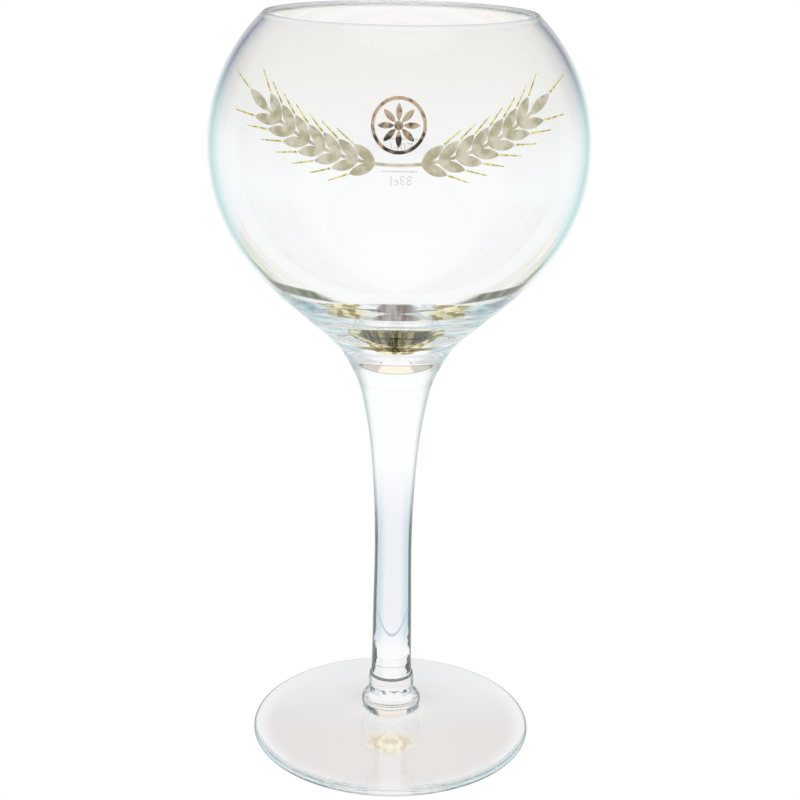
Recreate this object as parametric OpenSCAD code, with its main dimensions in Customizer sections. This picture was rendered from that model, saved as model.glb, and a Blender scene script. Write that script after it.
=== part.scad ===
// Stemmed beer glass: bowl, stem and foot of clear glass, with enamel prints on the bowl.
// The glass stands on z = 0 and its axis is Z. The front of the bowl faces -Y.

/* [Foot] */
// Diameter of the foot, mm
foot_diameter = 110; // [100:1:120]
// Height of the rounded edge of the foot, mm
foot_edge_height = 4; // [3:0.5:5]
// Rise of the foot from its edge to the hub, mm
foot_rise = 6.2; // [4.6:0.2:8]
// Width of the ring that the foot rests on, mm
rest_ring_width = 9; // [6:1:14]
// Depth of the hollow under the foot, mm
foot_hollow = 4.2; // [2.4:0.2:5.4]
// Diameter of the hub between foot and stem, mm
hub_diameter = 23.2; // [20:0.4:27]
// Height of the hub, mm
hub_height = 7.1; // [5:0.1:9]

/* [Stem] */
// Diameter of the collar above the hub, mm
collar_diameter = 17.8; // [16.6:0.2:19]
// Height of the collar, mm
collar_height = 7.6; // [5:0.2:10]
// Diameter of the stem just above the collar, mm
stem_foot_diameter = 16; // [15:0.2:16.4]
// Diameter of the stem where it is slimmest, mm
stem_waist_diameter = 14.4; // [12.6:0.2:15]
// Height from the collar to the slimmest place, mm
stem_waist_rise = 55; // [47:1:61]
// Height from the slimmest place to the seam under the bowl, mm
stem_flare_rise = 80.7; // [72:0.1:90]
// Diameter of the stem at the seam under the bowl, mm
stem_top_diameter = 42.8; // [38:0.2:47]

/* [Bowl] */
// Greatest diameter of the bowl, mm
bowl_diameter = 138.8; // [130:0.2:146]
// Distance from the axis to the centre of the side's arc, mm
side_centre_offset = 2.8; // [1.6:0.2:4]
// Thickness of the bowl's side, mm
bowl_wall = 2.2; // [1.8:0.2:3.2]
// Height of the bowl's conical base, mm
base_rise = 26.2; // [23:0.2:29]
// Height of the bowl's inner floor above the seam, mm
floor_thickness = 7; // [5:0.2:10]
// Height from the seam to the bowl's widest place, mm
belly_rise = 74.3; // [70:0.1:78]
// Height from the widest place to the top of the lip, mm
mouth_rise = 48.3; // [43:0.1:51]

/* [Prints] */
// Thickness of the enamel, mm
print_thickness = 0.3; // [0.2:0.05:0.4]
// Height of the garland's lowest place over the widest place of the bowl, mm
garland_rise = 6; // [4:0.5:10]
// Radius of the garland's curve, mm
garland_radius = 72; // [64:1:80]
// Length of one grain of the garland, mm
grain_length = 9; // [7.6:0.2:10]
// Width of one grain, mm
grain_width = 3.4; // [2.8:0.1:3.8]
// Distance of the grains from the stalk, mm
grain_offset = 2.6; // [2.2:0.1:3]
// Width of the stalk, mm
stalk_width = 1; // [0.8:0.1:1.4]
// Length of one bristle at the grains' tips, mm
bristle_length = 7; // [5:0.5:9]
// Width of a bristle at its root, mm
bristle_width = 0.6; // [0.5:0.05:0.8]
// Gap between a grain's tip and its bristle, mm
bristle_gap = 0.4; // [0.3:0.1:0.8]
// Diameter of the medallion, mm
medallion_diameter = 18; // [14:0.5:20]
// Width of the medallion's ring, mm
medallion_ring_width = 1.1; // [0.8:0.1:1.6]
// Gap between the garland's stalk and the medallion, mm
medallion_gap = 3; // [2:0.5:5]

/* [Fill lines] */
// Height of the lower fill line above the table, mm
lower_line_height = 214; // [211:0.2:217]
// Height of the upper fill line above the table, mm
upper_line_height = 227; // [224:0.2:230]
// Length of a fill line, mm
line_length = 15; // [12:0.5:20]
// Width of the printed strokes, mm
stroke_width = 0.5; // [0.4:0.05:0.7]
// Height of the numerals, mm
numeral_height = 3.8; // [3.2:0.1:4.4]
// Gap between a fill line and its numerals, mm
numeral_gap = 1.6; // [1:0.1:2.2]

/* [Hidden] */
$fn = 96;

// One overrun serves every cut and every clipping outline.
overrun = 20;
// Points between two given points of a smooth outline.
smooth_steps = 3;
// Points round the lip and round the foot's edge.
round_steps = 8;
// Turn by which the lip and the base reach into the side's wall.
seam_angle = 3;
// Grains on each side of a stalk, and petals of the medallion.
grain_pairs = 7;
petal_count = 8;

// Heights of the joints, counted up from the table.
hub_base_z = foot_edge_height + foot_rise;
stem_base_z = hub_base_z + hub_height;
collar_top_z = stem_base_z + collar_height;
waist_z = collar_top_z + stem_waist_rise;
bowl_base_z = waist_z + stem_flare_rise;
belly_z = bowl_base_z + belly_rise;
floor_z = bowl_base_z + floor_thickness;

// The side of the bowl is one arc, from the base's angle to the lip's angle.
side_radius = bowl_diameter / 2 - side_centre_offset;
inner_radius = side_radius - bowl_wall;
lip_radius = bowl_wall / 2;
base_angle = -asin((belly_rise - base_rise) / side_radius);
lip_angle = asin((mouth_rise - lip_radius) / (side_radius - lip_radius));

// Outlines as shares: first of the height or the run, then of the change in radius or the rise.
foot_top_shares = [[0, 0], [0.25, 0.14], [0.5, 0.32], [0.75, 0.58], [0.9, 0.8], [1, 1]];
foot_hollow_shares = [[0, 0], [0.08, 0.05], [0.25, 0.22], [0.5, 0.5], [0.75, 0.8], [0.9, 0.96], [1, 1]];
hub_shares = [[0, 0.93], [0.2, 0.98], [0.5, 1], [0.72, 0.95], [0.88, 0.86], [1, 0.77]];
collar_shares = [[0, 0.98], [0.3, 1], [0.75, 0.99], [0.93, 0.97], [1, 0.95]];
stem_lower_shares = [[0, 1], [0.06, 0.85], [0.2, 0.7], [0.4, 0.55], [0.6, 0.36], [0.8, 0.12], [1, 0]];
stem_upper_shares = [
    [0, 0], [0.15, 0.016], [0.3, 0.055], [0.46, 0.12], [0.62, 0.235], [0.77, 0.4], [0.85, 0.545],
    [0.93, 0.765], [1, 1]
];
base_shares = [
    [0, 0], [0.14, 0.125], [0.27, 0.255], [0.4, 0.395], [0.54, 0.54], [0.68, 0.69], [0.81, 0.83],
    [0.94, 0.95], [1, 1]
];
floor_shares = [
    [0, 0], [0.15, 0.013], [0.3, 0.063], [0.45, 0.16], [0.6, 0.309], [0.75, 0.516], [0.88, 0.745], [1, 1]
];

// Shares of a numeral's height, of the medallion's radius and of the garland's turn.
numeral_width_share = 0.56;
numeral_pitch_share = 0.74;
petal_length_share = 0.62;
petal_width_share = 0.22;
medallion_core_share = 0.16;
garland_start_share = 0.18;
grain_tilt = 30;
bristle_tip_share = 0.5;
garland_turn = 38;
grain_turn = (garland_turn * (1 - garland_start_share)) / grain_pairs;

function direction(angle) = [cos(angle), sin(angle)];

// A smooth curve through given points.
function spline(a, b, c, d, t) =
    0.5 * (2 * b + (c - a) * t + (2 * a - 5 * b + 4 * c - d) * t * t + (3 * b - a - 3 * c + d) * t * t * t);
function smooth(points) = [
    for (i = [0 : len(points) - 2])
        for (k = [0 : smooth_steps - 1])
            spline(
                points[max(i - 1, 0)], points[i], points[i + 1],
                points[min(i + 2, len(points) - 1)], k / smooth_steps
            ),
    points[len(points) - 1]
];

// Shares turned into an outline from one place to another: [radius, height].
function rising(shares, from, to) = [
    for (s = shares) [from[0] + (to[0] - from[0]) * s[1], from[1] + (to[1] - from[1]) * s[0]]
];
function running(shares, from, to) = [
    for (s = shares) [from[0] + (to[0] - from[0]) * s[0], from[1] + (to[1] - from[1]) * s[1]]
];

side_centre = [side_centre_offset, belly_z];
// A place in the middle of the side's wall, into which the lip and the base reach.
function wall_middle(angle) = side_centre + (side_radius - lip_radius) * direction(angle);
base_outer = side_centre + side_radius * direction(base_angle);
base_inner = side_centre + inner_radius * direction(base_angle);
// The inner floor, from the axis out to the side's inner arc.
floor_curve = smooth(running(floor_shares, [0, floor_z], base_inner));

module foot() {
    edge_radius = foot_edge_height / 2;
    edge_centre = [foot_diameter / 2 - edge_radius, edge_radius];
    ring_inner = edge_centre[0] - rest_ring_width;
    hub_base = [hub_diameter / 2 * hub_shares[0][1], hub_base_z];
    color("lightcyan")
        rotate_extrude()
            polygon(concat(
                [[0, stem_base_z], [0, foot_hollow]],
                [for (i = [len(foot_hollow_shares) - 2 : -1 : 0])
                    [ring_inner * (1 - foot_hollow_shares[i][0]), foot_hollow * foot_hollow_shares[i][1]]],
                [for (i = [0 : 2 * round_steps])
                    edge_centre + edge_radius * direction(-90 + 90 * i / round_steps)],
                [for (p = smooth(running(foot_top_shares, [edge_centre[0], foot_edge_height], hub_base)))
                    if (p[0] < edge_centre[0] && p[0] > hub_base[0]) p],
                smooth([for (s = hub_shares) [hub_diameter / 2 * s[1], hub_base_z + hub_height * s[0]]])
            ));
}

module stem() {
    color("azure")
        rotate_extrude()
            polygon(concat(
                [[0, bowl_base_z], [0, stem_base_z]],
                smooth([for (s = collar_shares)
                    [collar_diameter / 2 * s[1], stem_base_z + collar_height * s[0]]]),
                [for (p = smooth(rising(
                    stem_lower_shares,
                    [stem_waist_diameter / 2, collar_top_z], [stem_foot_diameter / 2, waist_z]
                ))) if (p[1] < waist_z) p],
                smooth(rising(
                    stem_upper_shares,
                    [stem_waist_diameter / 2, waist_z], [stem_top_diameter / 2, bowl_base_z]
                ))
            ));
}

// The side's wall, cut off along the arc's own radii at the base and at the lip.
module side_section() {
    far = side_radius + overrun;
    difference() {
        intersection() {
            translate(side_centre) circle(r = side_radius);
            polygon([
                side_centre,
                side_centre + far * direction(base_angle),
                side_centre + [far, 0],
                side_centre + far * direction(lip_angle)
            ]);
        }
        translate(side_centre) circle(r = inner_radius);
    }
}

module lip_section() {
    lip_centre = side_centre + (side_radius - lip_radius) * direction(lip_angle);
    polygon(concat(
        [wall_middle(lip_angle - seam_angle)],
        [for (i = [0 : round_steps]) lip_centre + lip_radius * direction(lip_angle + 180 * i / round_steps)]
    ));
}

module base_section() {
    polygon(concat(
        [[0, floor_z], [0, bowl_base_z]],
        smooth(rising(base_shares, [stem_top_diameter / 2, bowl_base_z], base_outer)),
        [wall_middle(base_angle + seam_angle)],
        [for (i = [len(floor_curve) - 1 : -1 : 1]) floor_curve[i]]
    ));
}

module bowl() {
    color("lightblue")
        rotate_extrude() {
            side_section();
            lip_section();
            base_section();
        }
}

// A thin layer that lies on the bowl's side, from which the prints are cut.
module print_layer() {
    far = side_radius + overrun;
    rotate_extrude()
        difference() {
            intersection() {
                translate(side_centre) circle(r = side_radius + print_thickness);
                polygon([
                    side_centre,
                    side_centre + far * direction(base_angle),
                    side_centre + [far, 0],
                    side_centre + far * direction(lip_angle)
                ]);
            }
            translate(side_centre) circle(r = side_radius);
        }
}

// Puts a flat drawing on the front or the back of the bowl; x is across and y is the height.
module on_front() {
    intersection() {
        print_layer();
        rotate([90, 0, 0]) linear_extrude(height = bowl_diameter) children();
    }
}

module on_back() {
    intersection() {
        print_layer();
        rotate([90, 0, 180]) linear_extrude(height = bowl_diameter) children();
    }
}

// A pointed oval of the given length and width, along x and centred.
module oval(length, width) {
    arc_radius = (length * length + width * width) / (4 * width);
    intersection() {
        translate([0, arc_radius - width / 2]) circle(r = arc_radius);
        translate([0, width / 2 - arc_radius]) circle(r = arc_radius);
    }
}

garland_centre = [0, belly_z + garland_rise + garland_radius];
function garland_place(turn) = garland_centre + garland_radius * direction(turn - 90);
function grain_place(i, side) =
    garland_place(garland_turn * garland_start_share + grain_turn * (i + 0.5))
    + side * grain_offset * direction(garland_turn * garland_start_share + grain_turn * (i + 0.5) - 90);
function grain_angle(i, side) =
    garland_turn * garland_start_share + grain_turn * (i + 0.5) - side * grain_tilt;

// One ear of grain, on the right of the garland.
module ear() {
    for (i = [0 : grain_pairs - 1])
        for (side = [-1, 1])
            translate(grain_place(i, side)) rotate(grain_angle(i, side)) oval(grain_length, grain_width);
    translate(garland_place(garland_turn + grain_turn / 2))
        rotate(garland_turn + grain_turn / 2)
            oval(grain_length, grain_width);
    // The stalk, as part of a ring.
    far = garland_radius + overrun;
    difference() {
        intersection() {
            translate(garland_centre) circle(r = garland_radius + stalk_width / 2);
            polygon([
                garland_centre,
                garland_centre + far * direction(-90),
                garland_centre + far * direction(garland_turn / 2 - 90),
                garland_centre + far * direction(garland_turn - 90)
            ]);
        }
        translate(garland_centre) circle(r = garland_radius - stalk_width / 2);
    }
}

// The bristles stand clear of the grains, past their tips.
module bristles() {
    for (i = [0 : grain_pairs - 1])
        for (side = [-1, 1])
            translate(grain_place(i, side))
                rotate(grain_angle(i, side))
                    bristle();
    translate(garland_place(garland_turn + grain_turn / 2))
        rotate(garland_turn + grain_turn / 2)
            bristle();
}

module bristle() {
    root = grain_length / 2 + bristle_gap;
    tip_width = bristle_width * bristle_tip_share;
    polygon([
        [root, -bristle_width / 2], [root + bristle_length, -tip_width / 2],
        [root + bristle_length, tip_width / 2], [root, bristle_width / 2]
    ]);
}

module both_sides() {
    children();
    mirror([1, 0]) children();
}

module front_motif() {
    color("ivory")
        on_front()
            both_sides() ear();
}

module motif_edge() {
    color("gold")
        on_front()
            both_sides() bristles();
}

module medallion() {
    outer = medallion_diameter / 2;
    color("peru")
        on_front()
            translate([0, belly_z + garland_rise + stalk_width / 2 + medallion_gap + outer]) {
                difference() {
                    circle(r = outer);
                    circle(r = outer - medallion_ring_width);
                }
                for (i = [0 : petal_count - 1])
                    rotate(360 * i / petal_count)
                        translate([outer * (medallion_core_share + petal_length_share / 2), 0])
                            oval(outer * petal_length_share, outer * petal_width_share);
                circle(r = outer * medallion_core_share);
            }
}

// Strokes of the numerals; each glyph stands on y = 0 and is centred on x = 0.
module glyph_ring(height, width) {
    difference() {
        rounded_bar(height, width / 2);
        translate([0, stroke_width]) rounded_bar(height - 2 * stroke_width, width / 2 - stroke_width);
    }
}

module rounded_bar(height, radius) {
    translate([0, radius]) circle(r = radius);
    translate([0, height - radius]) circle(r = radius);
    translate([-radius, radius]) square([2 * radius, height - 2 * radius]);
}

module glyph_0() {
    glyph_ring(numeral_height, numeral_height * numeral_width_share);
}

// The round part at the foot of 3 and 5, open on its upper left.
module glyph_bowl() {
    bowl_height = (numeral_height + stroke_width) / 2;
    difference() {
        translate([0, bowl_height / 2]) circle(r = bowl_height / 2);
        translate([0, bowl_height / 2]) circle(r = bowl_height / 2 - stroke_width);
        translate([-numeral_height, bowl_height / 2])
            square([numeral_height, bowl_height / 2 - stroke_width]);
    }
}

module glyph_3() {
    glyph_bowl();
    translate([0, numeral_height]) mirror([0, 1]) glyph_bowl();
}

module glyph_5() {
    half = (numeral_height + stroke_width) / 4;
    glyph_bowl();
    translate([-half, 2 * half - stroke_width]) square([half, stroke_width]);
    translate([-half, 2 * half - stroke_width]) square([stroke_width, numeral_height - 2 * half + stroke_width]);
    translate([-half, numeral_height - stroke_width]) square([2 * half, stroke_width]);
}

module glyph_c() {
    half = (numeral_height + stroke_width) / 4;
    difference() {
        translate([0, half]) circle(r = half);
        translate([0, half]) circle(r = half - stroke_width);
        translate([half / 2, half / 2]) square([half, half]);
    }
}

module glyph_l() {
    translate([-stroke_width / 2, 0]) square([stroke_width, numeral_height]);
}

// A fill line with two numerals and the unit below it.
module fill_mark(height) {
    pitch = numeral_height * numeral_pitch_share;
    base = height - numeral_gap - numeral_height;
    translate([-line_length / 2, height - stroke_width / 2]) square([line_length, stroke_width]);
    translate([-1.5 * pitch, base]) children(0);
    translate([-0.5 * pitch, base]) children(1);
    translate([0.5 * pitch, base]) glyph_c();
    translate([1.2 * pitch, base]) glyph_l();
}

module mark_33() {
    color("silver")
        on_back()
            fill_mark(lower_line_height) {
                glyph_3();
                glyph_3();
            }
}

module mark_50() {
    color("gainsboro")
        on_back()
            fill_mark(upper_line_height) {
                glyph_5();
                glyph_0();
            }
}

bowl();
stem();
foot();
front_motif();
motif_edge();
medallion();
mark_33();
mark_50();
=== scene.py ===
import math

import bpy
from mathutils import Matrix, Vector


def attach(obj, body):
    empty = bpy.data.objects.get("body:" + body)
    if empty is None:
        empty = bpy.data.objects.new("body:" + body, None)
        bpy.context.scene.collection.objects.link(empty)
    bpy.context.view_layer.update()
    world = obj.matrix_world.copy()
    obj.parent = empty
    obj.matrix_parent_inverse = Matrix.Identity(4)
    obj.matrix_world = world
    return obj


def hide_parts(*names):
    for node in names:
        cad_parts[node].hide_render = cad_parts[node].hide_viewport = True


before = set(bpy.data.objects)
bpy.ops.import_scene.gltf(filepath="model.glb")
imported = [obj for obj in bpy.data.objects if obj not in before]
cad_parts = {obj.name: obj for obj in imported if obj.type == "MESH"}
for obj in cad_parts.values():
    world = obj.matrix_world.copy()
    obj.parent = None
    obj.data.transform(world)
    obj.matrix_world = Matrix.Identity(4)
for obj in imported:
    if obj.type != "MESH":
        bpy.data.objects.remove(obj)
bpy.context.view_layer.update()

# A stemmed beer glass. Its glass pieces are turned round the axis, its prints are the CAD's meshes.
scene = bpy.context.scene
MM = 0.001
DEGREES = math.degrees(1.0)  # of a radian

# Sizes of the glass in mm, the same values as the CAD model's.
FOOT_D = 110.0  # across the foot
FOOT_EDGE = 4.0  # thickness of the foot's rounded edge
FOOT_RISE = 6.2  # rise of the foot's top from the edge to the hub
REST_RING = 9.0  # width of the flat ring that the glass rests on
FOOT_HOLLOW = 4.2  # depth of the hollow inside that ring
HUB_D = 23.2  # across the hub on the foot
HUB_H = 7.1  # height of the hub
COLLAR_D = 17.8  # across the collar round the stem's foot
COLLAR_H = 7.6  # height of the collar
STEM_FOOT_D = 16.0  # across the stem above the collar
WAIST_D = 14.4  # across the stem where it is slimmest
STEM_TOP_D = 42.8  # across the stem's flared top
WAIST_RISE = 55.0  # from the collar up to the waist
FLARE_RISE = 80.7  # from the waist up to the bowl
BOWL_D = 138.8  # across the bowl
ARC_OFFSET = 2.8  # from the axis out to the centre of the side's arc
WALL = 2.2  # thickness of the bowl's wall
BASE_RISE = 26.2  # height of the cone under the side's arc
FLOOR_T = 7.0  # glass between the stem and the inner floor
BELLY_RISE = 74.3  # from the stem up to the widest place
MOUTH_RISE = 48.3  # from the widest place up to the lip
FLOOR_POWER = 2.3  # how steeply the inner floor turns up to the side

# Heights and radii in mm that follow from them.
HUB_Z = FOOT_EDGE + FOOT_RISE
STEM_Z = HUB_Z + HUB_H
COLLAR_TOP = STEM_Z + COLLAR_H
WAIST_Z = COLLAR_TOP + WAIST_RISE
BOWL_Z = WAIST_Z + FLARE_RISE
ARC_Z = BOWL_Z + BASE_RISE
BELLY_Z = BOWL_Z + BELLY_RISE
FLOOR_Z = BOWL_Z + FLOOR_T
LIP_Z = BELLY_Z + MOUTH_RISE
FOOT_R = FOOT_D / 2
SIDE_R = BOWL_D / 2 - ARC_OFFSET
INNER_R = SIDE_R - WALL
LIP_R = WALL / 2
SIDE_CENTRE = (ARC_OFFSET, BELLY_Z)
BASE_ANGLE = -math.asin((BELLY_RISE - BASE_RISE) / SIDE_R)
LIP_ANGLE = math.asin((MOUTH_RISE - LIP_R) / (SIDE_R - LIP_R))

# Outlines that run outwards: share of the radius, share of the height.
FOOT_TOP_SHARES = [(0, 0), (0.25, 0.14), (0.5, 0.32), (0.75, 0.58), (0.9, 0.8), (1, 1)]
HOLLOW_SHARES = [(0, 0), (0.08, 0.05), (0.25, 0.22), (0.5, 0.5), (0.75, 0.8), (0.9, 0.96), (1, 1)]

# Outlines that rise: share of the height, share of the radius.
HUB_SHARES = [(0, 0.93), (0.2, 0.98), (0.5, 1), (0.72, 0.95), (0.88, 0.86), (1, 0.77)]
COLLAR_SHARES = [(0, 0.98), (0.3, 1), (0.75, 0.99), (0.93, 0.97), (1, 0.95)]
STEM_LOW_SHARES = [(0, 1), (0.06, 0.85), (0.2, 0.7), (0.4, 0.55), (0.6, 0.36), (0.8, 0.12), (1, 0)]
STEM_UP_SHARES = [
    (0, 0), (0.15, 0.016), (0.3, 0.055), (0.46, 0.12), (0.62, 0.235), (0.77, 0.4), (0.85, 0.545),
    (0.93, 0.765), (1, 1),
]
BASE_SHARES = [
    (0, 0), (0.14, 0.125), (0.27, 0.255), (0.4, 0.395), (0.54, 0.54), (0.68, 0.69), (0.81, 0.83),
    (0.94, 0.95), (1, 1),
]

# Fineness of the mesh.
AROUND = 256  # steps round the axis
FOOT_STEPS = 8  # steps between two points of the hollow, the hub and the collar
TOP_STEPS = 10  # steps between two points of the foot's top and of the lower stem
FLARE_STEPS = 14  # steps between two points of the upper stem
BASE_STEPS = 12  # steps between two points of the bowl's base
EDGE_STEPS = 20  # steps of the foot's rounded edge
SIDE_STEPS = 96  # steps of the bowl's side, outside and inside
LIP_STEPS = 16  # steps of the lip
FLOOR_STEPS = 48  # steps of the inner floor
ON_AXIS = 1e-6  # a radius below this one is a point on the axis


# Outlines


def spline_bends(values):
    """Second derivatives of a natural cubic spline through evenly spaced values, by elimination."""
    count = len(values)
    factors = [0.0] * count
    rests = [0.0] * count
    for i in range(1, count - 1):
        pivot = 4.0 - factors[i - 1]
        factors[i] = 1.0 / pivot
        rests[i] = (6.0 * (values[i - 1] - 2 * values[i] + values[i + 1]) - rests[i - 1]) / pivot
    bends = [0.0] * count
    for i in range(count - 2, 0, -1):
        bends[i] = rests[i] - factors[i] * bends[i + 1]
    return bends


def smooth(points, steps):
    """A smooth curve through the points, with so many steps between each two."""
    bends = [spline_bends([point[axis] for point in points]) for axis in (0, 1)]
    curve = []
    for i in range(len(points) - 1):
        for k in range(steps):
            after = k / steps
            before = 1 - after
            curve.append(tuple(
                points[i][axis] * before + points[i + 1][axis] * after
                + (before ** 3 - before) * bends[axis][i] / 6 + (after ** 3 - after) * bends[axis][i + 1] / 6
                for axis in (0, 1)
            ))
    curve.append(tuple(points[-1]))
    return curve


def running(shares, start, end):
    """Points from start to end, by their shares of the radius and of the height."""
    return [(start[0] + (end[0] - start[0]) * s[0], start[1] + (end[1] - start[1]) * s[1]) for s in shares]


def rising(shares, start, end):
    """Points from start to end, by their shares of the height and of the radius."""
    return running([(s[1], s[0]) for s in shares], start, end)


def rings(shares, radius, low, height):
    """Points of a ring of glass, by their shares of its height and of its radius."""
    return [(radius * s[1], low + height * s[0]) for s in shares]


def on_arc(centre, radius, angle):
    """The point of an arc at an angle in radians."""
    return (centre[0] + radius * math.cos(angle), centre[1] + radius * math.sin(angle))


def arc(centre, radius, start, end, steps):
    """Points of an arc between two angles, both ends included."""
    return [on_arc(centre, radius, start + (end - start) * k / steps) for k in range(steps + 1)]


def foot_outline():
    """From the middle of the hollow out, round the edge and up to the top of the hub."""
    edge = (FOOT_R - FOOT_EDGE / 2, FOOT_EDGE / 2)
    ring_r = edge[0] - REST_RING
    hub_base = (HUB_D / 2 * HUB_SHARES[0][1], HUB_Z)
    points = smooth([(ring_r * (1 - s[0]), FOOT_HOLLOW * s[1]) for s in reversed(HOLLOW_SHARES)], FOOT_STEPS)
    points += arc(edge, FOOT_EDGE / 2, -math.pi / 2, math.pi / 2, EDGE_STEPS)
    points += smooth(running(FOOT_TOP_SHARES, (edge[0], FOOT_EDGE), hub_base), TOP_STEPS)[1:-1]
    points += smooth(rings(HUB_SHARES, HUB_D / 2, HUB_Z, HUB_H), FOOT_STEPS)
    return points


def stem_outline():
    """From the collar up to the flared top."""
    waist = (WAIST_D / 2, WAIST_Z)
    points = smooth(rings(COLLAR_SHARES, COLLAR_D / 2, STEM_Z, COLLAR_H), FOOT_STEPS)
    low = rising(STEM_LOW_SHARES, (WAIST_D / 2, COLLAR_TOP), (STEM_FOOT_D / 2, WAIST_Z))
    points += smooth(low, TOP_STEPS)[:-1]
    points += smooth(rising(STEM_UP_SHARES, waist, (STEM_TOP_D / 2, BOWL_Z)), FLARE_STEPS)
    return points


def bowl_outline():
    """Up the outside, round the lip, down the inside and in to the middle of the floor."""
    outer = on_arc(SIDE_CENTRE, SIDE_R, BASE_ANGLE)
    inner = on_arc(SIDE_CENTRE, INNER_R, BASE_ANGLE)
    lip = on_arc(SIDE_CENTRE, SIDE_R - LIP_R, LIP_ANGLE)
    points = smooth(rising(BASE_SHARES, (STEM_TOP_D / 2, BOWL_Z), outer), BASE_STEPS)[:-1]
    points += arc(SIDE_CENTRE, SIDE_R, BASE_ANGLE, LIP_ANGLE, SIDE_STEPS)[:-1]
    points += arc(lip, LIP_R, LIP_ANGLE, LIP_ANGLE + math.pi, LIP_STEPS)[:-1]
    points += arc(SIDE_CENTRE, INNER_R, LIP_ANGLE, BASE_ANGLE, SIDE_STEPS)
    for i in range(FLOOR_STEPS - 1, -1, -1):
        share = i / FLOOR_STEPS
        points.append((inner[0] * i / FLOOR_STEPS, FLOOR_Z + (inner[1] - FLOOR_Z) * share ** FLOOR_POWER))
    return points


def lathe(name, points, node, material):
    """Turns an outline of (radius, height) in mm round the axis, in place of the CAD's node."""
    verts = []
    faces = []
    circles = []
    for r, z in points:
        if r < ON_AXIS:
            circles.append([len(verts)])
            verts.append((0.0, 0.0, z * MM))
            continue
        circles.append(list(range(len(verts), len(verts) + AROUND)))
        for k in range(AROUND):
            turn = 2 * math.pi * k / AROUND
            verts.append((r * MM * math.cos(turn), r * MM * math.sin(turn), z * MM))
    for low, high in zip(circles, circles[1:]):
        for k in range(AROUND):
            after = (k + 1) % AROUND
            if len(low) == 1:
                faces.append((low[0], high[after], high[k]))
            elif len(high) == 1:
                faces.append((low[k], low[after], high[0]))
            else:
                faces.append((low[k], low[after], high[after], high[k]))
    mesh = bpy.data.meshes.new(name)
    mesh.from_pydata(verts, [], faces)
    mesh.update()
    for polygon in mesh.polygons:
        polygon.use_smooth = True
    obj = bpy.data.objects.new(name, mesh)
    scene.collection.objects.link(obj)
    mesh.materials.append(material)
    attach(obj, "root")
    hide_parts(node)


# Node trees


class Value:
    """A socket to reckon with: each sum or function of it adds the node that works it out."""

    def __init__(self, nodes, socket):
        self.nodes = nodes
        self.socket = socket

    def __add__(self, other):
        return self.nodes.math("ADD", self, other)

    def __sub__(self, other):
        return self.nodes.math("SUBTRACT", self, other)

    def __rsub__(self, other):
        return self.nodes.math("SUBTRACT", other, self)

    def __mul__(self, other):
        return self.nodes.math("MULTIPLY", self, other)

    def __truediv__(self, other):
        return self.nodes.math("DIVIDE", self, other)

    def __pow__(self, power):
        return self.nodes.math("POWER", self, power)

    def __abs__(self):
        return self.nodes.math("ABSOLUTE", self)

    def root(self):
        return self.nodes.math("SQRT", self)

    def at_least(self, other):
        return self.nodes.math("MAXIMUM", self, other)

    def ramp(self, low, high, at_low=0.0, at_high=1.0):
        """A smooth step from at_low to at_high, between two values of this one."""
        node = self.nodes.add("ShaderNodeMapRange", interpolation_type="SMOOTHSTEP")
        self.nodes.put(self, node.inputs["Value"])
        self.nodes.put(low, node.inputs["From Min"])
        self.nodes.put(high, node.inputs["From Max"])
        self.nodes.put(at_low, node.inputs["To Min"])
        self.nodes.put(at_high, node.inputs["To Max"])
        return Value(self.nodes, node.outputs["Result"])

    def fall(self, low, high):
        """The ramp turned over: 1 below, 0 above."""
        return self.ramp(low, high, 1.0, 0.0)

    def reaches(self, count):
        """1 where this value, a whole number, is at least the count."""
        return self.ramp(count - 0.6, count - 0.4)


class Nodes:
    """Short ways to build a node tree."""

    # Numbers of the mix node's colour sockets, as its number sockets have the same names.
    MIX_FIRST = 6
    MIX_SECOND = 7
    MIX_RESULT = 2

    def __init__(self, tree):
        self.tree = tree

    def add(self, kind, **settings):
        node = self.tree.nodes.new(kind)
        for key, value in settings.items():
            setattr(node, key, value)
        return node

    def output(self, kind, name):
        return Value(self, self.add(kind).outputs[name])

    def put(self, value, socket):
        """Links a Value to the socket, or sets the socket to a number or a colour."""
        if isinstance(value, Value):
            self.tree.links.new(value.socket, socket)
        elif isinstance(value, tuple):
            socket.default_value = (*value, 1.0)
        else:
            socket.default_value = value

    def math(self, operation, *values):
        node = self.add("ShaderNodeMath", operation=operation)
        for value, socket in zip(values, node.inputs):
            self.put(value, socket)
        return Value(self, node.outputs[0])

    def mix(self, factor, first, second):
        """The first colour where the factor is 0, the second where it is 1."""
        node = self.add("ShaderNodeMix", data_type="RGBA")
        self.put(factor, node.inputs["Factor"])
        self.put(first, node.inputs[self.MIX_FIRST])
        self.put(second, node.inputs[self.MIX_SECOND])
        return Value(self, node.outputs[self.MIX_RESULT])

    def noise(self, place, scale, detail):
        node = self.add("ShaderNodeTexNoise")
        self.put(place, node.inputs["Vector"])
        self.put(scale, node.inputs["Scale"])
        self.put(detail, node.inputs["Detail"])
        return Value(self, node.outputs[0])

    def split(self, vector):
        node = self.add("ShaderNodeSeparateXYZ")
        self.put(vector, node.inputs[0])
        return [Value(self, socket) for socket in node.outputs]

    def join(self, *parts):
        node = self.add("ShaderNodeCombineXYZ")
        for part, socket in zip(parts, node.inputs):
            self.put(part, socket)
        return Value(self, node.outputs[0])

    def place(self):
        """The three coordinates of a point of the object, in mm."""
        return [part / MM for part in self.split(self.output("ShaderNodeTexCoord", "Object"))]


def length(x, y):
    """Length of a flat vector of two Values."""
    return (x * x + y * y).root()


def new_material(name):
    """A material, its node tree and the inputs of its shader."""
    material = bpy.data.materials.new(name)
    material.use_nodes = True
    tree = material.node_tree
    return material, Nodes(tree), tree.nodes["Principled BSDF"].inputs


# Glass

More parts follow.
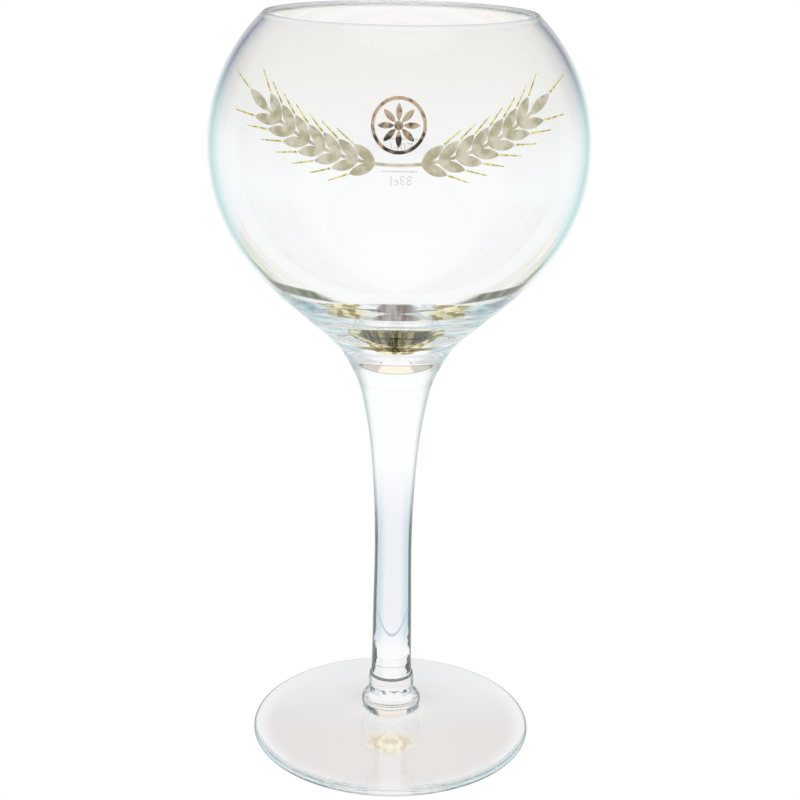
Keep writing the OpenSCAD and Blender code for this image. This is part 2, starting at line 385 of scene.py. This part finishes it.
# Stretches of height in mm over which one plain colour turns into the next.
HUB_MIX = (HUB_Z - 0.7, HUB_Z + 0.8)
SEAM_MIX = (BOWL_Z - 5.6, BOWL_Z + 2.4)
# The lilac edge is a painted reflection; the bowl's greyer top is painted shade.
LILAC_MIX = (LIP_Z - 28.2, LIP_Z - 5.2)
TOP_SHADE_MIX = (BELLY_Z - 9.9, LIP_Z - 8.2)
LIP_LIGHT_MIX = (LIP_Z - 2.0, LIP_Z - 0.8)
LOW_STEM_START = (COLLAR_TOP + 0.7, COLLAR_TOP + 1.5)
LOW_STEM_END = (WAIST_Z + 5.1, WAIST_Z + 38.1)
LOW_STEM_MIX = (COLLAR_TOP + 11.1, COLLAR_TOP + 20.1)
WAVER_END = (COLLAR_TOP + 9.1, COLLAR_TOP + 25.1)

# Ranges of facing over which the plain glass turns from its middle's colour to its side's.
# Facing is 0 where the eye looks straight at the glass and 1 where it grazes it.
BOWL_TURN = (0.73, 0.86)
STEM_TURN = (0.42, 0.74)
AQUA_TURN = (0.12, 0.34)
OLIVE_TURN = (0.43, 0.53)
FOOT_TURN = (0.8, 0.97)

# Stretches of height in mm where painted reflections lie in the bowl's thick base.
LOWER_EYE = (BOWL_Z + 3.2, BOWL_Z + 16.2)
UPPER_EYE = (BOWL_Z + 21.2, BOWL_Z + 30.4)
WEDGES = (BOWL_Z + 27.9, BOWL_Z + 32.8)
TEAL_SIDES = (BOWL_Z + 5.4, BOWL_Z + 27.9)

# The same for the stem, the collar, the hub and the foot's edge.
SEAM_RING = (BOWL_Z - 6.6, BOWL_Z - 1.6)
U_LINE = (COLLAR_TOP + 15.1, COLLAR_TOP + 33.1)
COLLAR_LINE = (COLLAR_TOP - 0.7, COLLAR_TOP + 0.6)
COLLAR_DASHES = (STEM_Z + 1.1, STEM_Z + 3.3)
HUB_AND_COLLAR = (HUB_Z + 0.3, COLLAR_TOP + 0.5)
HUB_BASE = (HUB_Z - 0.4, HUB_Z + 3.2)
FOOT_LINE = (0.1, 1.8)
FOOT_GLINT = (2.8, 3.5)
FOOT_SIDE = (0.1, 4.2)

# The outside of the thick base widens by so many mm for each mm of height. Paint fades out this deep in it.
BASE_SLOPE = 1.05
PAINT_END = (-1.9, -1.0)

# The lower eye narrows downwards: its width at the top and what it loses on its way down, as facing.
EYE_WIDTH = 0.64
EYE_NARROWING = 0.115
EYE_DROP = 12.8

# The upper eye and the teal go by facing made even: it grows by so much for each mm of height from here up,
# and steps back where the side's arc begins. Past the pillar the eye's top sinks.
SPREAD_Z = BOWL_Z + 21.4
SPREAD_RISE = 0.02
ARC_STEP = 0.093
PILLAR_EDGE = 0.53
TOP_SINKING = 25.0

# Middle height of the ring that mirrors the seam, and half its height.
RING_Z = BOWL_Z - 3.9
RING_HALF = 2.0

# Lowest place of the U line, its rise towards the sides, and 1 - facing in the middle as photographed.
U_BOTTOM = COLLAR_TOP + 17.6
U_RISE = 17.5
U_LEVEL = 0.951

# Plain glass, as linear red, green and blue. The bowl's greyer top and the stem's dark edge are painted
# shade, the lilac is a painted reflection and the lip's white is a painted highlight.
BOWL_CLEAR = (0.99, 0.998, 1.0)
BOWL_TOP_SHADE = (0.955, 0.946, 0.928)
BOWL_AQUA = (0.64, 0.86, 0.85)
BOWL_LILAC = (0.72, 0.73, 0.85)
STEM_CLEAR = (0.99, 0.995, 0.995)
STEM_EDGE = (0.20, 0.33, 0.31)
FOOT_CLEAR = (0.99, 0.992, 0.995)
FOOT_AQUA = (0.6, 0.75, 0.78)
LIP_PAINTED_LIGHT = (0.93, 0.95, 0.94)

# Colours of the lower stem: painted refractions, with painted shade at its olive edges. Of two colours the
# first is near the collar, the second higher up.
LAVENDERS = ((0.97, 0.98, 0.98), (0.87, 0.875, 0.92))
AQUAS = ((0.88, 0.94, 0.95), (0.42, 0.62, 0.72))
STEM_OLIVE = (0.012, 0.015, 0.008)

# Mirrored colours, painted on the glass as reflections, refractions and their shade. Two colours are the
# ends of what noise picks from.
OLIVES = ((0.005, 0.004, 0.001), (0.11, 0.09, 0.022))
GOLDS = ((0.20, 0.12, 0.012), (1.0, 0.84, 0.36))
GREYS = ((0.05, 0.034, 0.024), (0.32, 0.28, 0.26))
GLIMMERS = ((0.42, 0.58, 0.60), (0.97, 0.98, 0.98))
WEDGE_OLIVES = ((0.012, 0.022, 0.008), (0.06, 0.095, 0.045))
TEALS = ((0.46, 0.80, 0.82), (0.18, 0.36, 0.52))
FOOT_BLUES = ((0.008, 0.035, 0.05), (0.08, 0.28, 0.42))
GLINT_BLUES = ((0.24, 0.50, 0.62), (0.60, 0.82, 0.86))
RING_GOLD = (1.0, 0.88, 0.58)
RING_GREY = (0.36, 0.33, 0.24)
RING_EDGE = (0.08, 0.07, 0.04)
LINE_BLUE = (0.16, 0.28, 0.46)
LINE_GREY = (0.04, 0.05, 0.04)
DASH_BLUE = (0.06, 0.09, 0.15)
HUB_PEACH = (0.93, 0.80, 0.66)
HUB_DARK = (0.05, 0.045, 0.04)
HUB_OLIVE = (0.03, 0.05, 0.035)
SIDE_GREY = (0.04, 0.06, 0.055)


class GlassWithPaintedLight:
    """The colour of the glass, painted part over part on its outside: its plain tints, and over them painted
    reflections, refractions and shade that stand in for what the glass mirrors and bends. Lengths are in mm.
    """

    def __init__(self, nodes):
        self.nodes = nodes
        x, y, self.z = nodes.place()
        self.r = length(x, y)
        # Sine and cosine of the direction from the axis. The 1 mm keeps the axis from dividing by nothing.
        self.across = x / (self.r + 1.0)
        self.along = y / (self.r + 1.0)
        self.facing = nodes.output("ShaderNodeLayerWeight", "Facing")
        # 1 where light goes in through the outside, 0 on the bowl's inside and above its base.
        cone = (self.z - BOWL_Z) * BASE_SLOPE + STEM_TOP_D / 2
        entering = 1.0 - nodes.output("ShaderNodeNewGeometry", "Backfacing")
        self.outside = entering * (self.r - cone).ramp(*PAINT_END)
        # Noise that several parts share.
        streaks = self.swirl(15.0, 0.025, 0.0)
        self.streaks = streaks.ramp(0.40, 0.62)
        self.thin_streaks = streaks.ramp(0.46, 0.66)
        self.curls = self.swirl(9.0, 0.48, 3.0).ramp(0.46, 0.54)
        self.golds = nodes.mix(self.curls, *GOLDS)
        # Facing made even over the height of the base.
        step = self.z.ramp(ARC_Z - 0.2, ARC_Z + 0.2) * ARC_STEP
        self.spread = self.facing + ((self.z - SPREAD_Z) * SPREAD_RISE - step)
        self.colour = self.plain()

    def swirl(self, around, up, shift):
        """Noise along the axis: around sets its cells round the axis, up its cells for each mm."""
        place = self.nodes.join(self.across * around, self.along * around, self.z * up + shift)
        return self.nodes.noise(place, 1.0, 3.0)

    def band(self, heights, soft):
        """1 between two heights on the outside, with soft ends."""
        low, high = heights
        return self.z.ramp(low, low + soft) * self.z.fall(high - soft, high) * self.outside

    def paint(self, mask, shade):
        """Lays a shade over the colour where the mask is 1."""
        self.colour = self.nodes.mix(mask, self.colour, shade)

    def plain(self):
        """Clear glass, which turns aqua and lilac where the eye grazes it. The lilac is a painted
        reflection, the stem's dark edge is painted shade, and the bowl's greyer top is painted shade.
        """
        mix = self.nodes.mix
        edge = mix(self.z.ramp(*LILAC_MIX), BOWL_AQUA, BOWL_LILAC)
        body = mix(self.z.ramp(*TOP_SHADE_MIX), BOWL_CLEAR, BOWL_TOP_SHADE)
        bowl = mix(self.facing.ramp(*BOWL_TURN), body, edge)
        stem = mix(self.facing.ramp(*STEM_TURN), STEM_CLEAR, STEM_EDGE)
        low_part = self.z.ramp(*LOW_STEM_START) * self.z.fall(*LOW_STEM_END)
        stem = mix(low_part, stem, self.low_stem_refraction())
        foot = mix(self.facing.ramp(*FOOT_TURN), FOOT_CLEAR, FOOT_AQUA)
        above = mix(self.z.ramp(*SEAM_MIX), stem, bowl)
        return mix(self.z.ramp(*HUB_MIX), foot, above)

    def low_stem_refraction(self):
        """Painted refractions: lavender in the middle, aqua beside it, and dark olive edges of painted shade
        that waver near the foot.
        """
        mix = self.nodes.mix
        waver = (self.swirl(3.0, 0.23, 9.0) - 0.5) * self.z.ramp(*WAVER_END, 0.9, 0.0)
        above = self.z.ramp(*LOW_STEM_MIX)
        clear = mix(self.facing.ramp(*AQUA_TURN), mix(above, *LAVENDERS), mix(above, *AQUAS))
        return mix((self.facing + waver).ramp(*OLIVE_TURN), clear, STEM_OLIVE)

    def paint_lower_eye(self):
        """A painted reflection in the thick base: a dark eye that is widest at its top, olive with gold
        ends.
        """
        drop = (LOWER_EYE[1] - self.z) / EYE_DROP
        depth = EYE_WIDTH - drop.at_least(0.0) ** 4.0 * EYE_NARROWING - self.facing
        olive = self.nodes.mix(self.thin_streaks, *OLIVES)
        eye = self.band(LOWER_EYE, 0.6) * depth.ramp(0.0, 0.008)
        self.paint(eye, self.nodes.mix(depth.ramp(0.034, 0.046), self.golds, olive))

    def paint_upper_eye(self):
        """A painted reflection in the thick base: a grey pillar between gold curls."""
        top = (UPPER_EYE[1] - 0.5) - (self.spread - PILLAR_EDGE).at_least(0.0) * TOP_SINKING
        eye = self.band(UPPER_EYE, 0.6) * (top - self.z).ramp(0.0, 0.6) * self.spread.fall(0.625, 0.645)
        pillar = self.nodes.mix(self.streaks, *GREYS)
        glimmer = self.nodes.mix(self.curls, *GLIMMERS)
        inner = self.nodes.mix(self.spread.ramp(0.528, 0.533), pillar, glimmer)
        self.paint(eye, self.nodes.mix(self.spread.ramp(0.546, 0.552), inner, self.golds))

    def paint_base_sides(self):
        """Painted reflections: dark wedges beside the upper eye and teal below them."""
        wedges = self.band(WEDGES, 0.9) * self.facing.ramp(0.51, 0.56) * self.facing.fall(0.76, 0.86)
        self.paint(wedges, self.nodes.mix(self.streaks, *WEDGE_OLIVES))
        teal = self.nodes.mix(self.swirl(5.0, 0.16, 8.0).ramp(0.42, 0.58), *TEALS)
        self.paint(self.band(TEAL_SIDES, 3.0) * self.spread.ramp(0.65, 0.71), teal)

    def paint_seam_ring(self):
        """The seam as the flare's top mirrors it: a flat grey ring with a gold middle and a dark edge."""
        rise = (self.z - RING_Z) / RING_HALF
        inside = 0.60 - rise * rise * 0.26 - self.facing
        ring = self.nodes.mix(self.facing.ramp(0.350, 0.372), RING_GOLD, RING_GREY)
        ring = self.nodes.mix(inside.ramp(0.05, 0.09), RING_EDGE, ring)
        self.paint(self.band(SEAM_RING, 0.5) * inside.ramp(0.0, 0.02) * 0.9, ring)

    def paint_u_line(self):
        """A painted refraction: a blue line like a U inside the lower stem."""
        squint = (1.0 - self.facing) / U_LEVEL
        sideways = 1.0 - squint * squint
        off_line = abs(self.z - (sideways * U_RISE + U_BOTTOM))
        line = off_line.fall(0.4, 0.9) * sideways.fall(0.66, 0.72)
        self.paint(line * self.band(U_LINE, 1.0) * 0.8, LINE_BLUE)

    def paint_hub_and_collar(self):
        """Painted refractions and shade: a dark line over the collar, blue dashes below, a peach middle at
        the hub's base, olive sides.
        """
        self.paint(self.band(COLLAR_LINE, 0.3) * 0.95, LINE_GREY)
        self.paint(self.band(COLLAR_DASHES, 0.6) * self.swirl(4.5, 0.56, 2.0).ramp(0.47, 0.55), DASH_BLUE)
        aside = abs(self.across).ramp(0.34, 0.46)
        patches = (1.0 - aside).at_least(self.swirl(3.0, 0.09, 6.0).ramp(0.40, 0.56))
        self.paint(self.band(HUB_BASE, 0.5) * patches, self.nodes.mix(aside, HUB_PEACH, HUB_DARK))
        sides = self.band(HUB_AND_COLLAR, 0.6) * self.facing.ramp(0.48, 0.70)
        self.paint(sides * self.swirl(6.0, 0.3, 5.0).ramp(0.38, 0.54), HUB_OLIVE)

    def paint_foot_edge(self):
        """Painted refractions on the foot's edge: a dark blue line low on it, a lighter glint above it, and
        painted shade, grey, where the eye grazes it.
        """
        edge = self.r.ramp(FOOT_R - 3.0, FOOT_R - 2.0) * abs(self.across).ramp(0.1, 0.55, 0.3, 1.0)
        broken = self.swirl(8.0, 0.05, 1.0).ramp(0.45, 0.6)
        self.paint(self.band(FOOT_LINE, 0.3) * edge, self.nodes.mix(broken, *FOOT_BLUES))
        self.paint(self.band(FOOT_GLINT, 0.2) * edge * 0.9, self.nodes.mix(broken, *GLINT_BLUES))
        side = self.band(FOOT_SIDE, 0.3) * self.r.ramp(FOOT_R - 2.0, FOOT_R - 1.2)
        self.paint(side * self.facing.ramp(0.55, 0.75), SIDE_GREY)


def clear_glass():
    """Clear glass with painted reflections, whitened at the lip by a painted highlight."""
    material, nodes, shader = new_material("clear_glass")
    skin = GlassWithPaintedLight(nodes)
    skin.paint_lower_eye()
    skin.paint_upper_eye()
    skin.paint_base_sides()
    skin.paint_seam_ring()
    skin.paint_u_line()
    skin.paint_hub_and_collar()
    skin.paint_foot_edge()
    # The lip's white is a painted highlight, standing in for the light the lip catches.
    lip = skin.z.ramp(*LIP_LIGHT_MIX)
    skin.paint(lip, LIP_PAINTED_LIGHT)
    nodes.put(skin.colour, shader["Base Color"])
    nodes.put(1.0 - lip * 0.6, shader["Transmission Weight"])
    shader["Roughness"].default_value = 0.0
    shader["IOR"].default_value = 1.51
    return material


# Prints


def enamel(name, low, high, scale, roughness, metallic=0.0, middle=0.0, lighter_up=0.0, alpha=1.0):
    """Printed enamel whose colour wanders between two tones, with a slightly grained skin.

    The scale is in cells for each metre. The colour grows lighter above the middle height in mm.
    """
    material, nodes, shader = new_material(name)
    place = nodes.output("ShaderNodeTexCoord", "Object")
    height = nodes.place()[2] - middle
    wander = nodes.noise(place, scale, 3.0) + height * lighter_up
    grain = nodes.noise(place, scale * 9.0, 2.0)
    nodes.put(nodes.mix(wander.ramp(0.36, 0.62), low, high), shader["Base Color"])
    nodes.put(grain.ramp(0.3, 0.7, roughness - 0.08, roughness + 0.08), shader["Roughness"])
    shader["Metallic"].default_value = metallic
    shader["Alpha"].default_value = alpha
    bump = nodes.add("ShaderNodeBump")
    bump.inputs["Strength"].default_value = 0.25
    bump.inputs["Distance"].default_value = 0.1 * MM
    nodes.put(grain, bump.inputs["Height"])
    nodes.tree.links.new(bump.outputs[0], shader["Normal"])
    return material


cream = enamel("cream_enamel", low=(0.44, 0.41, 0.26), high=(0.66, 0.62, 0.49), scale=260.0, roughness=0.42)
gold = enamel("gold_enamel", low=(0.42, 0.36, 0.06), high=(0.86, 0.78, 0.26), scale=700.0, roughness=0.35)
white = enamel(
    "white_enamel", low=(0.70, 0.73, 0.73), high=(0.78, 0.80, 0.80), scale=400.0, roughness=0.5, alpha=0.22,
)
bronze = enamel(
    "bronze_print", low=(0.09, 0.065, 0.055), high=(0.82, 0.62, 0.44), scale=330.0, roughness=0.3,
    metallic=0.35, middle=253.0, lighter_up=0.016,
)

for node, print_material in (
    ("front_motif", cream), ("motif_edge", gold), ("medallion", bronze),
    ("mark_33", white), ("mark_50", white),
):
    print_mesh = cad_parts[node].data
    print_mesh.materials.clear()
    print_mesh.materials.append(print_material)

glass = clear_glass()
lathe("glass_foot", foot_outline(), "foot", glass)
lathe("glass_stem", stem_outline(), "stem", glass)
lathe("glass_bowl", bowl_outline(), "bowl", glass)


# Floor and room

WHITE = (1.0, 1.0, 1.0)
PAPER_HALF = 3000.0  # half the width of the paper on the floor
PAPER_GAP = 0.2  # between the paper and the foot
PATCH_Y = -17.5  # middle of the patch of light on the paper, in front of the axis
PATCH_HALF_X = 11.5  # half its width
PATCH_HALF_Y = 10.5  # half its depth


def paper():
    """Plain white paper with a painted shadow: a little darker and warmer where the foot covers it."""
    material, nodes, shader = new_material("studio_floor")
    shader["Base Color"].default_value = (0.0, 0.0, 0.0, 1.0)
    shader["Specular IOR Level"].default_value = 0.0
    x, y = nodes.place()[:2]
    r = length(x, y)
    # Painted shadow under the foot, warmer in front.
    shade = nodes.mix(y.ramp(-12.0, 40.0), (0.86, 0.83, 0.81), (0.99, 0.99, 1.0))
    # A patch of light that the hub throws on the paper.
    patch_x = x / PATCH_HALF_X
    patch_y = (y - PATCH_Y) / PATCH_HALF_Y
    grain = nodes.noise(nodes.join(abs(patch_x) * 4.6, patch_y * 1.7, 0.0), 1.0, 2.0)
    glow = nodes.mix(grain.ramp(0.40, 0.62), (0.78, 0.64, 0.42), (1.0, 0.95, 0.74))
    shade = nodes.mix(length(patch_x, patch_y).fall(0.45, 1.1) * 0.8, shade, glow)
    nodes.put(nodes.mix(r.ramp(FOOT_R - REST_RING, FOOT_R - 1.5), shade, WHITE), shader["Emission Color"])
    shader["Emission Strength"].default_value = 1.0
    # Beyond the foot the glass sees the room through the paper.
    seen = nodes.output("ShaderNodeLightPath", "Is Camera Ray")
    blend = nodes.add("ShaderNodeMixShader")
    nodes.put(seen.at_least(r.fall(FOOT_R - 3.0, FOOT_R + 1.0)), blend.inputs[0])
    nodes.put(nodes.output("ShaderNodeBsdfTransparent", "BSDF"), blend.inputs[1])
    nodes.tree.links.new(nodes.tree.nodes["Principled BSDF"].outputs[0], blend.inputs[2])
    nodes.tree.links.new(blend.outputs[0], nodes.tree.nodes["Material Output"].inputs["Surface"])
    return material


def lay_paper():
    half = PAPER_HALF * MM
    corners = [(-half, -half, 0), (half, -half, 0), (half, half, 0), (-half, half, 0)]
    mesh = bpy.data.meshes.new("studio_floor")
    mesh.from_pydata(corners, [], [(0, 1, 2, 3)])
    mesh.materials.append(paper())
    floor = bpy.data.objects.new("studio_floor", mesh)
    scene.collection.objects.link(floor)
    floor.location = (0, 0, -PAPER_GAP * MM)


def room_ahead(nodes, away, tilt, streaks):
    """What the glass mirrors from ahead: olive and gold below, aqua and lilac level, pale above."""
    mix = nodes.mix
    olive = mix(streaks, (0.04, 0.035, 0.01), (0.50, 0.40, 0.14))
    gold = mix(streaks, (0.30, 0.20, 0.05), (1.0, 0.85, 0.45))
    level = mix(tilt.ramp(-4, 6), (0.42, 0.68, 0.68), (0.40, 0.42, 0.56))
    level = mix(away.ramp(15, 23), (0.97, 0.98, 0.98), level)
    ahead = mix(tilt.ramp(-30, -22), mix(away.ramp(20, 40), olive, gold), level)
    ahead = mix(tilt.ramp(-68, -60), (0.97, 0.97, 0.97), ahead)
    ahead = mix(tilt.ramp(14, 30), ahead, (0.90, 0.89, 0.92))
    return mix(away.ramp(48, 56), ahead, mix(tilt.ramp(-30, -20), (0.96, 0.97, 0.97), (0.72, 0.84, 0.83)))


def room_beside(nodes, tilt, streaks):
    """What the glass mirrors from the sides: teal below, aqua level, pale above."""
    mix = nodes.mix
    teal = mix(streaks, (0.10, 0.15, 0.12), (0.42, 0.56, 0.54))
    level = mix(tilt.ramp(-14, -8), (0.62, 0.80, 0.80), (0.30, 0.42, 0.45))
    beside = mix(tilt.ramp(-26, -20), teal, level)
    return mix(tilt.ramp(8, 25), beside, (0.85, 0.85, 0.86))


def room_behind(nodes, tilt, crossings):
    """White below. Above it is dark, and less so for light that crossed the glass."""
    dark = nodes.mix(crossings.reaches(1), (0.06, 0.055, 0.05), (0.72, 0.72, 0.72))
    return nodes.mix(tilt.ramp(-10, 12), WHITE, dark)


def studio_world():
    """A white room. What the glass mirrors is darker, and what it mirrors inside itself is coloured."""
    world = bpy.data.worlds.new("studio")
    world.use_nodes = True
    nodes = Nodes(world.node_tree)
    x, y, z = nodes.split(nodes.output("ShaderNodeTexCoord", "Generated"))
    # Directions in degrees: the turn from straight ahead, and the tilt over the horizon.
    turn = nodes.math("ARCTAN2", x, y) * DEGREES
    away = abs(turn)
    tilt = nodes.math("ARCSINE", z) * DEGREES
    streaks = nodes.noise(nodes.join(turn * 0.30, tilt * 0.05, 0.0), 1.0, 3.0).ramp(0.42, 0.60)
    crossings = nodes.output("ShaderNodeLightPath", "Transmission Depth")
    ahead = room_ahead(nodes, away, tilt, streaks)
    beside = room_beside(nodes, tilt, streaks)
    behind = room_behind(nodes, tilt, crossings)
    colour = nodes.mix(away.ramp(66, 76), ahead, beside)
    colour = nodes.mix(away.ramp(108, 125), colour, behind)
    # Only light that went in, was mirrored and came out again shows the room's colours.
    inside = crossings.reaches(2) * (1.0 - crossings.reaches(3))
    colour = nodes.mix(inside, behind, colour)
    colour = nodes.mix(tilt.ramp(60, 76), colour, WHITE)
    mirrors = nodes.output("ShaderNodeLightPath", "Glossy Depth")
    scatters = nodes.output("ShaderNodeLightPath", "Diffuse Depth")
    mirrored = mirrors.reaches(1) * (1.0 - scatters.reaches(1))
    nodes.put(nodes.mix(mirrored, WHITE, colour), world.node_tree.nodes["Background"].inputs["Color"])
    return world


# Camera

# It was fitted to the photograph: the place in radii of the foot, the focal length in pixels.
CAMERA_AT = (0.032, -11.089, 6.140)
PITCH = math.radians(18.05)
ROLL = math.radians(0.92)
FOCAL_PX = 1689.7
PHOTO_PX = 800.0
SENSOR = 36.0
BOUNCES = 96  # enough for light that is mirrored many times inside the foot


def place_camera():
    lens = bpy.data.cameras.new("camera")
    lens.sensor_width = SENSOR
    lens.lens = FOCAL_PX * SENSOR / PHOTO_PX
    lens.clip_start = 0.01
    forward = Vector((0, math.cos(PITCH), -math.sin(PITCH)))
    level_up = Vector((0, math.sin(PITCH), math.cos(PITCH)))
    level_right = Vector((1, 0, 0))
    up = level_up * math.cos(ROLL) - level_right * math.sin(ROLL)
    right = level_right * math.cos(ROLL) + level_up * math.sin(ROLL)
    stand = Matrix((right, up, -forward)).transposed().to_4x4()
    stand.translation = [part * FOOT_R * MM for part in CAMERA_AT]
    camera = bpy.data.objects.new("camera", lens)
    scene.collection.objects.link(camera)
    camera.matrix_world = stand
    scene.camera = camera


lay_paper()
scene.world = studio_world()
place_camera()

scene.view_settings.view_transform = "Standard"
scene.cycles.max_bounces = BOUNCES
scene.cycles.transmission_bounces = BOUNCES
scene.cycles.glossy_bounces = BOUNCES
scene.cycles.transparent_max_bounces = 16
